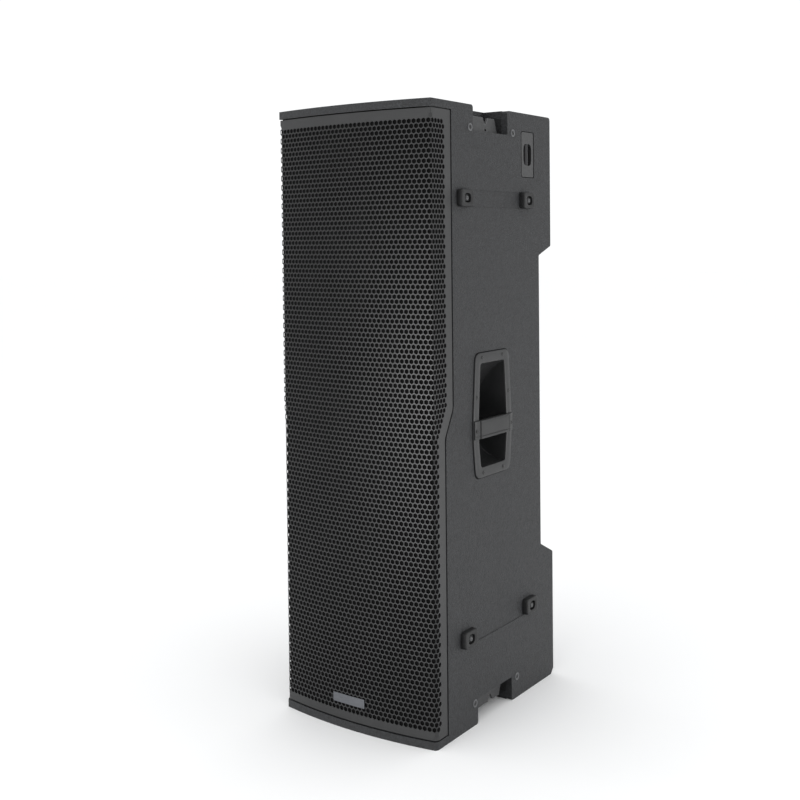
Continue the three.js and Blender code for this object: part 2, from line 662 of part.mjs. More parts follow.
const FINS = { count: 14, pitch: 17, thick: 3, base: 5, height: 34, bottom: 562, top: 882 };
const finXs = Array.from({ length: FINS.count }, (_, i) => (i - (FINS.count - 1) / 2) * FINS.pitch);
const heatsinkBack = PANEL_FRONT + GAP;
add('amp_heatsink', extrude('z', outline([
  [finXs[0] - FINS.thick / 2, heatsinkBack],
  ...finXs.flatMap((x, i) => {
    const [left, right] = [x - FINS.thick / 2, x + FINS.thick / 2];
    const [root, tip] = [heatsinkBack + FINS.base, heatsinkBack + FINS.height];
    const rise = i === 0 ? [] : [[left, root]];
    const fall = i === FINS.count - 1 ? [] : [[right, root]];
    return [...rise, [left, tip], [right, tip], ...fall];
  }),
  [finXs.at(-1) + FINS.thick / 2, heatsinkBack],
]), FINS.bottom, FINS.top), 0x222324, 0.45, 0.8);
add('amp_chassis', box([-112, 112], [122, AMP.face - GAP], [560, 884]), 0xa8abae, 0.4, 0.9);

// A panel socket: a square flange, a barrel through the plate and a round well.
function socket([x, z], half, barrel, well, depth) {
  const flange = extrude('y', rectangle(x, z, half, half * 1.15, 3), PANEL_FRONT + GAP, PANEL_FRONT + GAP + 2.5, 3);
  const body = extrude('y', circle(x, z, barrel), PANEL_FRONT - 26, PANEL_FRONT + 1, 9);
  return cut(join(flange, body), extrude('y', circle(x, z, well), PANEL_FRONT - depth, PANEL_FRONT + 4, 9));
}
const pins = ([x, z], radius, from, to) => [-55, 0, 55].map((turn) => {
  const angle = THREE.MathUtils.degToRad(turn - 90);
  return extrude('y', circle(x + 4.6 * Math.cos(angle), z + 4.6 * Math.sin(angle), radius), from, to, 3);
});

const inletCore = extrude('y', circle(...CONTROLS.powerInlet, 5), PANEL_FRONT - 21, PANEL_FRONT - 8, 6);
add('power_inlet', join(socket(CONTROLS.powerInlet, 16, 14, 11.5, 20), inletCore), 0x2f5f9f, 0.5);

const latchSlot = box(
  [CONTROLS.input[0] - 3.9, CONTROLS.input[0] + 3.9],
  [PANEL_FRONT - 7, PANEL_FRONT + 4],
  [CONTROLS.input[1] + 9.6, CONTROLS.input[1] + 11.6]);
const inputWell = cut(
  extrude('y', circle(...CONTROLS.input, 9.4), PANEL_FRONT - 10, PANEL_FRONT + 4, 9),
  extrude('y', circle(...CONTROLS.input, 7.6), PANEL_FRONT - 11, PANEL_FRONT + 5, 9));
add('signal_input_socket', cut(
  socket(CONTROLS.input, 12.8, 12, 0.5, 1),
  inputWell,
  latchSlot,
  ...pins(CONTROLS.input, 1.4, PANEL_FRONT - 10, PANEL_FRONT + 4),
), 0x1b1b1c, 0.5);
add('signal_link_socket', join(
  socket(CONTROLS.link, 12.8, 12, 9.5, 14),
  ...pins(CONTROLS.link, 1.2, PANEL_FRONT - 15, PANEL_FRONT - 3),
), 0x1b1b1c, 0.5);

add('input_latch', box(
  [CONTROLS.input[0] - 3.6, CONTROLS.input[0] + 3.6],
  [PANEL_FRONT - 3.5, PANEL_FRONT + 5.5],
  [CONTROLS.input[1] + 9.9, CONTROLS.input[1] + 11.3]), BARE_STEEL, 0.35, 0.9);

const control = (points, [x, z]) => turned(points.map(([radius, depth]) => [radius, PANEL_FRONT + depth]), z, 16, x);
add('level_knob', control([[0, -12], [3, -12], [3, 0.8], [9.5, 0.8], [9, 13], [8, 14], [0, 14]], CONTROLS.knob),
  0x202021, 0.5);
add('select_button', control([[0, -10], [4, -10], [4, 3], [3.4, 3.6], [0, 3.6]], CONTROLS.button), 0x9a9c9f, 0.4);
add('power_switch', extrude('x', outline([
  [AMP.face - 8, CONTROLS.rocker[1] - 9],
  [AMP.face - 8, CONTROLS.rocker[1] + 9],
  [PANEL_FRONT + 0.5, CONTROLS.rocker[1] + 10],
  [PANEL_FRONT + 1.2, CONTROLS.rocker[1]],
  [PANEL_FRONT + 4, CONTROLS.rocker[1] - 10],
]), CONTROLS.rocker[0] - 6.9, CONTROLS.rocker[0] + 6.9), 0x151516, 0.4);

add('badge', badge(), 0x9b9d9f, 0.4, 0.7);

export default group;
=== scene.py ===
import math

import bmesh
import bpy
import numpy as np
from mathutils import Matrix, Vector


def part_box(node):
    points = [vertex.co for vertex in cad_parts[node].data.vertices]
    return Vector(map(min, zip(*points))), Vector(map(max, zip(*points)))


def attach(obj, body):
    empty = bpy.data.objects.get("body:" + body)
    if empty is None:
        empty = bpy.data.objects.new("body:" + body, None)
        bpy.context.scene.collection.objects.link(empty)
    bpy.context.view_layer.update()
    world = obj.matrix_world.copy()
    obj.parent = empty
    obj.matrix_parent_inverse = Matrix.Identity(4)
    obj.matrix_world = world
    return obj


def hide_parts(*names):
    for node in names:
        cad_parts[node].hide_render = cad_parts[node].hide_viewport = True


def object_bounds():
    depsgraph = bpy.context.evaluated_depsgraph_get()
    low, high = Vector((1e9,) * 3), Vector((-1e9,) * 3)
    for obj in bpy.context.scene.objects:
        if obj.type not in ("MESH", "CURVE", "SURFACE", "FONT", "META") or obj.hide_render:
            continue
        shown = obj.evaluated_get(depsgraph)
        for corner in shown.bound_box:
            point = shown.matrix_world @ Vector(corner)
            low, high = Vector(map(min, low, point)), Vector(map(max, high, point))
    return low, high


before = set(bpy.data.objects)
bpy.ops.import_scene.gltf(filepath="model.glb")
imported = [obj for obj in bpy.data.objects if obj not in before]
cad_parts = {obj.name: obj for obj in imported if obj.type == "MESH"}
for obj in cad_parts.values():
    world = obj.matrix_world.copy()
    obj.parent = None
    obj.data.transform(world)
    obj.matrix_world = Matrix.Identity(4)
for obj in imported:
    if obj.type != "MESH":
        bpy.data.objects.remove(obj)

cad_low, cad_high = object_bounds()
MM = 0.001
TURN = 2 * math.pi

# ---------------------------------------------------------------- driving dimensions
HEIGHT = cad_high.z
GRILLE_LOW, GRILLE_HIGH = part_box("grille")
BOW = 19 * MM  # how far the front arc stands ahead of its corners
HALF_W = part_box("top_panel")[1].x
FRONT = cad_low.y
BOW_RADIUS = (HALF_W ** 2 + BOW ** 2) / (2 * BOW)
CORNER = FRONT + BOW
SEAM_UPPER = GRILLE_HIGH.y  # rear edge of the grille cheeks above the jog
SEAM_LOWER = SEAM_UPPER - 30 * MM
JOG_TOP = 677 * MM
JOG_BOTTOM = 620 * MM
GRILLE_BACK = 2 * MM
GRILLE_SHEET = 1.5 * MM
LIP_CHAMFER = (4 * MM, 5 * MM)
SHARP_LIP = (0.6 * MM, 0.6 * MM)
PANEL_OVERLAP = 0.16 * MM  # how far each panel grows so that the coating bridges the 0.3 mm joints


# ---------------------------------------------------------------- mesh helpers
class Solid:
    """Points and faces of one piece, gathered part by part."""

    def __init__(self):
        self.points = []
        self.faces = []

    def add(self, points, faces):
        start = len(self.points)
        self.points += [tuple(p) for p in points]
        self.faces += [tuple(start + i for i in face) for face in faces]
        return self

    def mirrored(self):
        other = Solid()
        return other.add([(-x, y, z) for x, y, z in self.points], [face[::-1] for face in self.faces])


def make(name, solid, material, slot, body="cabinet", replaces=(), bevel=0.0, sharp=35, sides=2):
    """One piece: its mesh, an optional rounding of its sharp edges, its finish, and the body it rides on."""
    mesh = bpy.data.meshes.new(name)
    mesh.from_pydata(solid.points, [], solid.faces)
    return place(name, mesh, material, body, replaces, bevel, sharp, sides)


def place(name, mesh, material, body="cabinet", replaces=(), bevel=0.0, sharp=35, sides=2):
    mesh.validate()
    mesh.materials.clear()
    mesh.materials.append(material)
    mesh.shade_smooth()
    mesh.set_sharp_from_angle(angle=math.radians(sharp))
    piece = bpy.data.objects.new(name, mesh)
    bpy.context.scene.collection.objects.link(piece)
    if bevel:
        rounded(piece, bevel, sharp, sides)
    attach(piece, body)
    if replaces:
        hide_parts(*replaces)
    return piece


def rounded(piece, width, sharp=35, sides=2):
    """Rounds a piece's sharp edges without touching its mesh."""
    bevel = piece.modifiers.new("rounded_edges", "BEVEL")
    bevel.width = width
    bevel.segments = sides
    bevel.limit_method = "ANGLE"
    bevel.angle_limit = math.radians(sharp)
    bevel.use_clamp_overlap = True
    bevel.harden_normals = True


def pair(name, solid, material, slot, replaces=(), **settings):
    """The right-hand piece, built at +X, and its mirror image on the left."""
    for side, shape in (("right", solid), ("left", solid.mirrored())):
        stands_for = [f"{side}_{node}" for node in replaces]
        make(f"{side}_{name}", shape, material, slot, replaces=stands_for, **settings)


def loft(rings, open_start=False, open_end=False):
    """Points and outward faces of a skin through rings of equal count, capped at its ends."""
    count = len(rings[0])
    points = [tuple(p) for ring in rings for p in ring]
    faces = []
    for r in range(len(rings) - 1):
        for i in range(count):
            a, b = r * count + i, r * count + (i + 1) % count
            faces.append((a, b, b + count, a + count))
    last = (len(rings) - 1) * count
    if not open_start:
        faces.append(tuple(range(count))[::-1])
    if not open_end:
        faces.append(tuple(last + i for i in range(count)))
    volume = 0.0
    for face in faces:
        first = Vector(points[face[0]])
        for i in range(1, len(face) - 1):
            volume += first.dot(Vector(points[face[i]]).cross(Vector(points[face[i + 1]])))
    return points, (faces if volume > 0 else [face[::-1] for face in faces])


def axes_across(direction):
    """Two unit vectors across a direction."""
    along = Vector(direction).normalized()
    side = Vector((0, 0, 1)) if abs(along.z) < 0.9 else Vector((1, 0, 0))
    u = side.cross(along).normalized()
    return along, u, along.cross(u)


def turned(profile, centre, direction, segments=24, shape=None):
    """A solid turned about direction through centre, from (radius, height) points.

    A third value True on a point scales that ring's radius by shape(angle), for a recess that isn't round.
    """
    along, u, v = axes_across(direction)
    rings = []
    for radius, height, *marked in profile:
        ring = []
        for i in range(segments):
            angle = TURN * i / segments
            r = max(radius, 1e-5) * (shape(angle) if marked and marked[0] else 1.0)
            ring.append(Vector(centre) + along * height + (u * math.cos(angle) + v * math.sin(angle)) * r)
        rings.append(ring)
    return loft(rings)


def cross_recess(angle):
    return 1.0 if abs(math.remainder(angle, TURN / 4)) < 0.27 else 0.36


def hex_recess(angle):
    return math.cos(TURN / 12) / math.cos(math.remainder(angle, TURN / 6))


def screw(centre, direction, radius, height, recess=cross_recess, seat=1 * MM):
    """A domed screw head standing on a surface, with a driver recess."""
    profile = [
        (radius * 0.9, -seat),
        (radius * 0.98, 0),
        (radius, height * 0.25),
        (radius * 0.9, height * 0.7),
        (radius * 0.66, height * 0.97),
        (radius * 0.56, height),
        (radius * 0.52, height * 0.96, True),
        (radius * 0.42, height * 0.35, True),
        (radius * 0.1, height * 0.28),
    ]
    return turned(profile, centre, direction, 48, recess)


def cup_washer(centre, direction, inner, outer, height):
    """The dished washer that a countersunk screw pulls down on a coated panel."""
    profile = [
        (outer, -1 * MM),
        (outer, height * 0.35),
        (outer * 0.93, height * 0.85),
        (outer * 0.85, height),
        (inner * 1.12, height * 0.6),
        (inner, -0.6 * MM),
    ]
    return turned(profile, centre, direction, 40)


def corner_arc(points, steps):
    """An outline through (u, v, radius) corners, each rounded by a curve of the same number of steps."""
    ring = []
    for i, (u, v, radius) in enumerate(points):
        here = Vector((u, v))
        before, after = (
            here + (Vector(points[k % len(points)][:2]) - here).normalized() * radius for k in (i - 1, i + 1))
        for s in range(steps + 1):
            t = s / steps
            ring.append(before * (1 - t) ** 2 + here * 2 * t * (1 - t) + after * t ** 2)
    return ring


def rounded_rectangle(u, v, half_u, half_v, radius, steps=5):
    corners = [(-1, -1), (1, -1), (1, 1), (-1, 1)]
    return corner_arc([(u + a * half_u, v + b * half_v, radius) for a, b in corners], steps)


# ---------------------------------------------------------------- finishes
class Finish:
    """A Principled material with colour, roughness and relief from procedural patterns in object space."""

    def __init__(self, name, roughness=0.5, metallic=0.0, specular=0.5):
        self.material = bpy.data.materials.new(name)
        self.material.use_nodes = True
        self.tree = self.material.node_tree
        self.shader = self.tree.nodes["Principled BSDF"]
        self.shader.inputs["Roughness"].default_value = roughness
        self.shader.inputs["Metallic"].default_value = metallic
        self.shader.inputs["Specular IOR Level"].default_value = specular
        self.place = self.node("ShaderNodeTexCoord").outputs["Object"]
        self.normal = None

    def node(self, kind, **settings):
        made = self.tree.nodes.new(kind)
        for key, value in settings.items():
            setattr(made, key, value)
        return made

    def link(self, source, target):
        if isinstance(source, bpy.types.NodeSocket):
            self.tree.links.new(source, target)
        else:
            target.default_value = source

    def stretched(self, stretch):
        mapping = self.node("ShaderNodeMapping")
        self.link(self.place, mapping.inputs["Vector"])
        mapping.inputs["Scale"].default_value = stretch
        return mapping.outputs["Vector"]

    def noise(self, size, detail=3, roughness=0.55, stretch=None):
        """Cloudy pattern from 0 to 1 whose features are about size across."""
        made = self.node("ShaderNodeTexNoise")
        self.link(self.stretched(stretch) if stretch else self.place, made.inputs["Vector"])
        made.inputs["Scale"].default_value = 1 / size
        made.inputs["Detail"].default_value = detail
        made.inputs["Roughness"].default_value = roughness
        return made.outputs["Fac"]

    def grains(self, size, smooth=0.6):
        """Rounded grains about size across: 0 at a grain's centre."""
        made = self.node("ShaderNodeTexVoronoi", feature="SMOOTH_F1")
        self.link(self.place, made.inputs["Vector"])
        made.inputs["Scale"].default_value = 1 / size
        made.inputs["Smoothness"].default_value = smooth
        return made.outputs["Distance"]

    def remap(self, value, low, high, to_low=0.0, to_high=1.0):
        made = self.node("ShaderNodeMapRange", interpolation_type="SMOOTHSTEP")
        for socket, setting in zip(made.inputs, (value, low, high, to_low, to_high)):
            self.link(setting, socket)
        return made.outputs["Result"]

    def math(self, operation, a, b=0.0):
        made = self.node("ShaderNodeMath", operation=operation)
        self.link(a, made.inputs[0])
        self.link(b, made.inputs[1])
        return made.outputs[0]

    def mix(self, factor, a, b):
        made = self.node("ShaderNodeMix", data_type="RGBA")
        self.link(factor, made.inputs["Factor"])
        for socket, colour in ((made.inputs[6], a), (made.inputs[7], b)):
            self.link((*colour, 1.0) if isinstance(colour, tuple) else colour, socket)
        return made.outputs[2]

    def edges(self, radius):
        """1 where an edge is rounded within radius, 0 on flat ground."""
        bevel = self.node("ShaderNodeBevel", samples=4)
        bevel.inputs["Radius"].default_value = radius
        geometry = self.node("ShaderNodeNewGeometry")
        dot = self.node("ShaderNodeVectorMath", operation="DOT_PRODUCT")
        self.link(bevel.outputs["Normal"], dot.inputs[0])
        self.link(geometry.outputs["Normal"], dot.inputs[1])
        return self.remap(dot.outputs["Value"], 0.985, 0.8, 0.0, 1.0)

    def colour(self, source):
        self.link(source, self.shader.inputs["Base Color"])
        return self

    def gloss(self, source):
        self.link(source, self.shader.inputs["Roughness"])
        return self

    def relief(self, height, depth, strength=1.0):
        """Adds a bump of the given depth in metres to those already there."""
        bump = self.node("ShaderNodeBump")
        bump.inputs["Distance"].default_value = depth
        bump.inputs["Strength"].default_value = strength
        self.link(height, bump.inputs["Height"])
        if self.normal is not None:
            self.link(self.normal, bump.inputs["Normal"])
        self.normal = bump.outputs["Normal"]
        self.link(self.normal, self.shader.inputs["Normal"])
        return self


def grey(value, cool=0.0):
    """A linear grey, a little bluer for a cool one."""
    return (value * (1 - cool), value, value * (1 + cool * 2))


def textured_paint(name, base, wear):
    """Sprayed polyurea: pebbled, slightly uneven in colour, rubbed lighter along its edges."""
    f = Finish(name, specular=0.35)
    pebbles = f.grains(2.6 * MM)
    fine = f.noise(1.1 * MM, 4, 0.7)
    cloud = f.noise(60 * MM, 4, 0.6)
    mottled = f.mix(f.remap(cloud, 0.3, 0.7), grey(base * 0.98, 0.05), grey(base * 1.02, 0.06))
    coarse = f.noise(4.5 * MM, 4, 0.7)
    grained = f.mix(f.remap(coarse, 0.4, 0.6), grey(base * 0.45, 0.02), mottled)
    speckled = f.mix(f.remap(fine, 0.45, 0.7, 0.0, 0.6), grained, grey(base * 2.4, 0.02))
    rubbed = f.math("MULTIPLY", f.edges(2.2 * MM), f.remap(f.noise(9 * MM, 5, 0.75), 0.42, 0.66, 0.0, wear))
    f.colour(f.mix(rubbed, speckled, grey(base * 3.0)))
    f.gloss(f.remap(f.noise(14 * MM, 3), 0.3, 0.7, 0.55, 0.61))
    return f.relief(pebbles, 1.0 * MM, 0.8).relief(coarse, 2.2 * MM, 0.7).relief(fine, 0.3 * MM, 0.5).material


def powder_coat(name, base, roughness, metallic=0.0, specular=0.5):
    """Baked powder on sheet steel: a faint orange peel under an even satin."""
    f = Finish(name, metallic=metallic, specular=specular)
    peel = f.noise(2.2 * MM, 2)
    dust = f.remap(f.noise(70 * MM, 5, 0.65), 0.4, 0.75)
    f.colour(f.mix(dust, grey(base, 0.02), grey(base * 1.35, 0.01)))
    f.gloss(f.remap(peel, 0.3, 0.7, roughness - 0.05, roughness + 0.07))
    return f.relief(peel, 0.08 * MM, 0.5).material


def moulded(name, base, roughness, grain=0.9 * MM, wear=0.3, specular=0.5, dyes=None):
    """Moulded plastic or rubber, grained and scuffed at its edges; dyes are its two shades if not grey."""
    shades = dyes or (grey(base * 0.93, 0.02), grey(base * 1.1, 0.02))
    f = Finish(name, specular=specular)
    skin = f.noise(grain, 3, 0.6)
    smudge = f.noise(45 * MM, 5, 0.6)
    scuffs = f.math("MULTIPLY", f.edges(1.4 * MM), f.remap(f.noise(5 * MM, 4, 0.7), 0.45, 0.65, 0.0, wear))
    body = f.mix(f.remap(smudge, 0.35, 0.7), *shades)
    f.colour(f.mix(scuffs, body, grey(base * 2.6)))
    f.gloss(f.remap(smudge, 0.3, 0.7, roughness - 0.06, roughness + 0.06))
    return f.relief(skin, 0.12 * MM, 0.6).material


def worn_steel(name, paint, steel, wear, roughness=0.4):
    """Black-finished steel that shows bare metal where it is handled."""
    f = Finish(name)
    patches = f.noise(7 * MM, 5, 0.7)
    edge = f.math("MULTIPLY", f.edges(1.2 * MM), f.remap(patches, 0.3, 0.6, 0.0, wear))
    scratches = f.remap(f.noise(1.2 * MM, 2, 0.5, (0.12, 1, 1)), 0.66, 0.78, 0.0, wear * 0.5)
    bare = f.math("MAXIMUM", edge, scratches)
    f.colour(f.mix(bare, grey(paint, 0.02), grey(steel, 0.01)))
    f.link(f.remap(bare, 0.2, 0.8), f.shader.inputs["Metallic"])
    f.gloss(f.remap(patches, 0.3, 0.7, roughness - 0.08, roughness + 0.1))
    return f.relief(f.noise(1.5 * MM, 3), 0.06 * MM, 0.5).material


def brushed_metal(name, tint, roughness, stretch):
    """Bare metal with brush marks along one axis and a few smudges."""
    f = Finish(name, metallic=1.0)
    marks = f.noise(0.6 * MM, 3, 0.6, stretch)
    smudge = f.noise(14 * MM, 4)
    f.colour(f.mix(f.remap(marks, 0.3, 0.7), tuple(c * 0.82 for c in tint), tint))
    f.gloss(f.remap(smudge, 0.3, 0.7, roughness - 0.06, roughness + 0.08))
    return f.relief(marks, 0.03 * MM, 0.5).material


def cone_paper(name):
    """Pressed paper pulp with fibres, its gloss varying at random."""
    f = Finish(name)
    fibres = f.noise(1.4 * MM, 5, 0.75)
    f.colour(f.mix(f.remap(fibres, 0.35, 0.7), grey(0.009), grey(0.028)))
    f.gloss(f.remap(f.noise(12 * MM, 3), 0.3, 0.7, 0.66, 0.84))
    return f.relief(fibres, 0.15 * MM, 0.7).material


def foam(name):
    """Open-cell acoustic foam: black, matt and full of pores."""
    f = Finish(name, roughness=0.95, specular=0.1)
    pores = f.grains(1.3 * MM, 0.2)
    f.colour(f.mix(f.remap(pores, 0.1, 0.6), grey(0.002), grey(0.005)))
    return f.relief(pores, 0.6 * MM, 0.8).material


def plywood(name):
    """Birch plywood seen on its cut edges: plies stacked through the thickness, grain along the sheet."""
    f = Finish(name, roughness=0.7)
    plies = f.noise(1.6 * MM, 1, 0.3, (0.02, 0.02, 1))
    grain = f.noise(3 * MM, 4, 0.6, (0.08, 1, 1))
    wood = f.mix(f.remap(plies, 0.4, 0.6), (0.22, 0.12, 0.055), (0.46, 0.31, 0.17))
    f.colour(f.mix(f.remap(grain, 0.4, 0.8, 0.0, 0.5), wood, (0.3, 0.18, 0.09)))
    return f.relief(grain, 0.1 * MM, 0.4).material


PANEL = textured_paint("textured_paint", 0.021, 0.7)
# dark baffle paint, also laid on the rigging pockets as painted shade: their walls are the panel's paint in
# shadow
BAFFLE_AND_POCKET_SHADE = textured_paint("baffle_paint", 0.008, 0.0)
GRILLE = powder_coat("grille_powder_coat", 0.0132, 0.4)
# black foam behind the grille; also used for the black rings that paint the shadow lines round the flanges
FOAM = foam("grille_foam")
STIFFENER = powder_coat("stiffener_coat", 0.003, 0.9, specular=0.1)
AMP_PAINT = powder_coat("amp_plate_paint", 0.01, 0.42)
ANODISED = powder_coat("heatsink_black", 0.012, 0.36, metallic=0.5)
HORN = moulded("horn_plastic", 0.012, 0.5)
HANDLE = moulded("handle_plastic", 0.017, 0.4, wear=0.25, specular=0.36)
GRIP = moulded("grip_plastic", 0.013, 0.42, grain=1.3 * MM, wear=0.4, specular=0.36)
RUBBER = moulded("foot_rubber", 0.011, 0.5, grain=0.7 * MM, wear=0.7, specular=0.3)
CONNECTOR = moulded("connector_black", 0.012, 0.4, grain=0.6 * MM, wear=0.15)
BLUE_DYES = ((0.015, 0.05, 0.16), (0.02, 0.065, 0.2))
CONNECTOR_BLUE = moulded("connector_blue", 0.02, 0.4, grain=0.6 * MM, wear=0.1, dyes=BLUE_DYES)
KNOB = moulded("knob_plastic", 0.014, 0.42, grain=0.6 * MM)
BUTTON = moulded("button_plastic", 0.16, 0.4, grain=0.6 * MM, wear=0.0)
ROCKER = moulded("rocker_plastic", 0.01, 0.34, grain=0.6 * MM, wear=0.0)
SURROUND = moulded("surround_rubber", 0.012, 0.55, grain=0.7 * MM, wear=0.0)
BRACKET = worn_steel("bracket_steel", 0.019, 0.4, 0.9)
ANCHOR = worn_steel("anchor_steel", 0.02, 0.3, 0.7)
CASTING = worn_steel("driver_casting", 0.014, 0.3, 0.15, 0.5)
BASKET = worn_steel("basket_casting", 0.014, 0.3, 0.15, 0.5)
MAGNET = worn_steel("magnet_steel", 0.03, 0.4, 0.4, 0.4)
SCREW = worn_steel("screw_steel", 0.004, 0.1, 0.4, 0.4)
ZINC = worn_steel("zinc_steel", 0.06, 0.3, 0.9, 0.36)
WASHER = worn_steel("washer_steel", 0.085, 0.24, 0.8, 0.4)
BADGE = brushed_metal("badge_metal", (0.15, 0.155, 0.168), 0.42, (0.03, 1, 1))
BAR = brushed_metal("bar_steel", (0.055, 0.055, 0.057), 0.42, (1, 1, 0.06))
LATCH = brushed_metal("latch_steel", (0.55, 0.55, 0.56), 0.3, (0.05, 1, 1))
CASE = brushed_metal("amp_case", (0.6, 0.61, 0.63), 0.4, (1, 1, 0.04))
DIAPHRAGM = brushed_metal("diaphragm_metal", (0.7, 0.71, 0.73), 0.3, (1, 1, 1))
DISPLAY = moulded("display_glass", 0.003, 0.2, grain=8 * MM, wear=0.0, specular=0.12)
CONE = cone_paper("cone_paper")
PLY = plywood("bare_ply")


# ---------------------------------------------------------------- camera, stage and lights
EYE = (1.4308, -2.0867, 1.0208)
EYE_AZIMUTH = 35.365  # degrees that the view is turned from square on to the grille
EYE_PITCH = 1.802  # degrees downwards
EYE_ROLL = -0.626
LENS = 50.77
SENSOR_WIDTH = 36
SHIFT_UP = -0.1554
FLOOR_REACH = 30.0


def camera():
    """The view from the front right, about four fifths of the way up the cabinet."""
    azimuth, pitch, roll = (math.radians(a) for a in (EYE_AZIMUTH, EYE_PITCH, EYE_ROLL))
    forward = Vector((
        -math.sin(azimuth) * math.cos(pitch), math.cos(azimuth) * math.cos(pitch), -math.sin(pitch)))
    level = Vector((math.cos(azimuth), math.sin(azimuth), 0))
    upright = level.cross(forward)
    right = level * math.cos(roll) + upright * math.sin(roll)
    up = upright * math.cos(roll) - level * math.sin(roll)
    data = bpy.data.cameras.new("camera")
    data.lens = LENS
    data.sensor_width = SENSOR_WIDTH
    data.shift_y = SHIFT_UP
    data.clip_start = 0.05
    data.clip_end = 60
    eye = bpy.data.objects.new("camera", data)
    eye.matrix_world = Matrix.Translation(EYE) @ Matrix(
        (right, up, -forward)).transposed().to_4x4()
    bpy.context.scene.collection.objects.link(eye)
    bpy.context.scene.camera = eye


def softbox(name, azimuth, elevation, distance, width, height, power):
    """A rectangular lamp that looks at the middle of the cabinet; azimuth 0 is in front of the grille."""
    lamp = bpy.data.lights.new(name, "AREA")
    lamp.shape = "RECTANGLE"
    lamp.size = width
    lamp.size_y = height
    lamp.energy = power
    box = bpy.data.objects.new(name, lamp)
    a, e = math.radians(azimuth), math.radians(elevation)
    away = Vector((math.sin(a) * math.cos(e), -math.cos(a) * math.cos(e), math.sin(e)))
    box.location = Vector((0, 0, HEIGHT / 2)) + away * distance
    box.rotation_mode = "QUATERNION"
    box.rotation_quaternion = away.to_track_quat("Z", "Y")
    bpy.context.scene.collection.objects.link(box)


def stage():
    """A wide floor of pale paper."""
    half = FLOOR_REACH
    mesh = bpy.data.meshes.new("studio_floor")
    corners = [(-half, -half, 0), (half, -half, 0), (half, half, 0), (-half, half, 0)]
    mesh.from_pydata(corners, [], [(0, 1, 2, 3)])
    paper = Finish("studio_paper", roughness=0.9, specular=0.1)
    paper.colour(paper.mix(paper.noise(0.5, 3), (0.95, 0.95, 0.95), (0.97, 0.97, 0.97)))
    mesh.materials.append(paper.material)
    floor = bpy.data.objects.new("studio_floor", mesh)
    bpy.context.scene.collection.objects.link(floor)


def studio_air(brightness):
    """An even white surround, a touch cool."""
    world = bpy.data.worlds.new("studio_air")
    world.use_nodes = True
    air = world.node_tree.nodes["Background"]
    air.inputs["Color"].default_value = (0.985, 0.993, 1, 1)
    air.inputs["Strength"].default_value = brightness
    bpy.context.scene.world = world


camera()
stage()
studio_air(1.06)
softbox("front_softbox", azimuth=-8, elevation=-6, distance=3.0, width=1.2, height=0.6, power=32)
softbox("side_softbox", azimuth=106, elevation=-8, distance=3.0, width=1.6, height=0.44, power=22)
softbox("top_softbox", azimuth=20, elevation=74, distance=3.4, width=2.4, height=2.4, power=12)
bpy.context.scene.view_settings.view_transform = "Standard"


# ---------------------------------------------------------------- cabinet shell
SHELL = [
    "right_side_panel", "left_side_panel", "top_panel", "bottom_panel", "upper_rear_panel", "upper_rear_step",
    "middle_rear_panel", "lower_rear_step", "lower_rear_panel",
]


def grown(node, amount):
    """A CAD node's mesh with every face moved out by amount."""
    bm = bmesh.new()
    bm.from_mesh(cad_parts[node].data)
    bmesh.ops.remove_doubles(bm, verts=bm.verts, dist=1e-6)
    bmesh.ops.recalc_face_normals(bm, faces=bm.faces)
    bm.normal_update()
    moves = []
    for vert in bm.verts:
        normals = []
        for face in vert.link_faces:
            if all(face.normal.dot(known) < 0.999 for known in normals):
                normals.append(face.normal.copy())
        shift = np.linalg.lstsq(np.array(normals), np.full(len(normals), amount), rcond=1e-3)[0]
        moves.append(Vector(shift))
    for vert, shift in zip(bm.verts, moves):
        vert.co += shift
    mesh = bpy.data.meshes.new(f"{node}_grown")
    bm.to_mesh(mesh)
    bm.free()
    return mesh


def shell():
    """The coated plywood box as one skin: panels grow by just over half a joint, join, and are rounded."""
    workshop = bpy.data.collections.new("panels")
    panels = [bpy.data.objects.new(f"{node}_grown", grown(node, PANEL_OVERLAP)) for node in SHELL]
    bpy.context.scene.collection.objects.link(panels[0])
    bpy.context.scene.collection.children.link(workshop)
    for panel in panels[1:]:
        workshop.objects.link(panel)
    union = panels[0].modifiers.new("union", "BOOLEAN")
    union.operation = "UNION"
    union.operand_type = "COLLECTION"
    union.collection = workshop
    union.solver = "EXACT"
    shadow = panels[0].evaluated_get(bpy.context.evaluated_depsgraph_get())
    mesh = bpy.data.meshes.new_from_object(shadow)
    for panel in panels:
        bpy.data.objects.remove(panel)
    bpy.data.collections.remove(workshop)
    bm = bmesh.new()
    bm.from_mesh(mesh)
    bmesh.ops.remove_doubles(bm, verts=bm.verts, dist=2e-5)
    bmesh.ops.dissolve_limit(bm, angle_limit=math.radians(0.5), verts=bm.verts, edges=bm.edges)
    bm.to_mesh(mesh)
    bm.free()
    place("cabinet_shell", mesh, PANEL, replaces=SHELL, bevel=1.6 * MM, sharp=30, sides=3)


shell()


# ---------------------------------------------------------------- perforated grille
ROWS = 123
FIRST_ROW = GRILLE_LOW.z + 21.8 * MM
LAST_ROW = GRILLE_HIGH.z - 25 * MM
ROW_PITCH = (LAST_ROW - FIRST_ROW) / (ROWS - 1)
CELLS_TO_FOLD = 18.5
HOLE_SHARE = 0.86  # hole width over pitch
PLAIN_UPPER = 21 * MM  # unperforated strip along the cheeks' rear edge
PLAIN_LOWER = 23 * MM
FOAM_INSET = GRILLE_SHEET + 0.3 * MM
FOAM_THICK = 1.4 * MM
FOAM_MARGIN = 3 * MM
FOAM_STEPS = 28
STIFFENER_THICK = 1.4 * MM
STIFFENER_REACH = 178 * MM
STIFFENER_Z = (1037 * MM, 1053 * MM)


def jog_share(z):
    return min(max((z - JOG_BOTTOM) / (JOG_TOP - JOG_BOTTOM), 0), 1)


def between(upper, lower, share):
    """A value on its way from the part below the jog, share 0, to the part above it, share 1."""
    return upper * share + lower * (1 - share)


